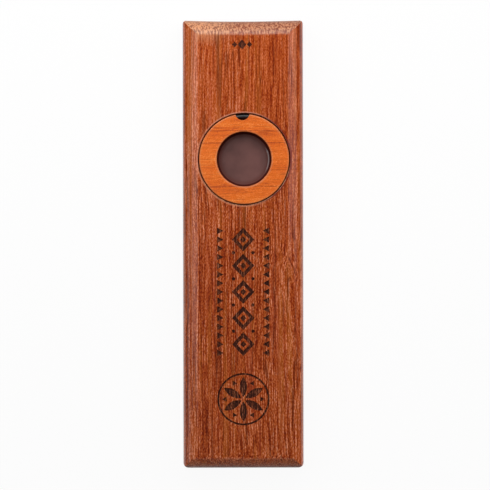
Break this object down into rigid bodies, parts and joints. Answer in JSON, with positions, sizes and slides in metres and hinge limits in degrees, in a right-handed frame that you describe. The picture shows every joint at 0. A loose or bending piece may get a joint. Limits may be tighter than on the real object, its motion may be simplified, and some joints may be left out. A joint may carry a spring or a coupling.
{
  "type": "kazoo",
  "caption": "Wooden bar kazoo with rounded edges, a buzzing film under a light push-fit ring, and a flat air channel from the mouth end to the far end.",
  "frame": {"origin": "middle of the back face, which the kazoo lies on, under the middle of its length and width", "axes": "+Y along the bar to the mouth end, +Z out of the front face, +X to the right when the front is seen with the mouth end up"},
  "size_m": [0.0322, 0.12, 0.015],
  "materials": {
    "rosewood": "clear satin lacquer over straight-grained reddish wood",
    "ring_wood": "clear satin lacquer over light orange wood",
    "black_rubber": "smooth, slightly glossy",
    "film": "thin smooth film, satin"
  },
  "bodies": {
    "bar": {"front_board": "rosewood", "back_board": "rosewood"},
    "ring": {"retaining_ring": "ring_wood", "seal_ring": "black_rubber"},
    "film": {"membrane": "film"}
  },
  "joints": [
    {"name": "ring_lift", "type": "slide", "parent": "bar", "child": "ring", "axis": [0, 0, 1], "range_m": [0, 0.02]},
    {"name": "membrane_lift", "type": "slide", "parent": "bar", "child": "film", "axis": [0, 0, 1], "range_m": [0, 0.01]}
  ],
  "couplings": [
    {"joint": "membrane_lift", "follows": "ring_lift", "ratio": 0.5}
  ]
}
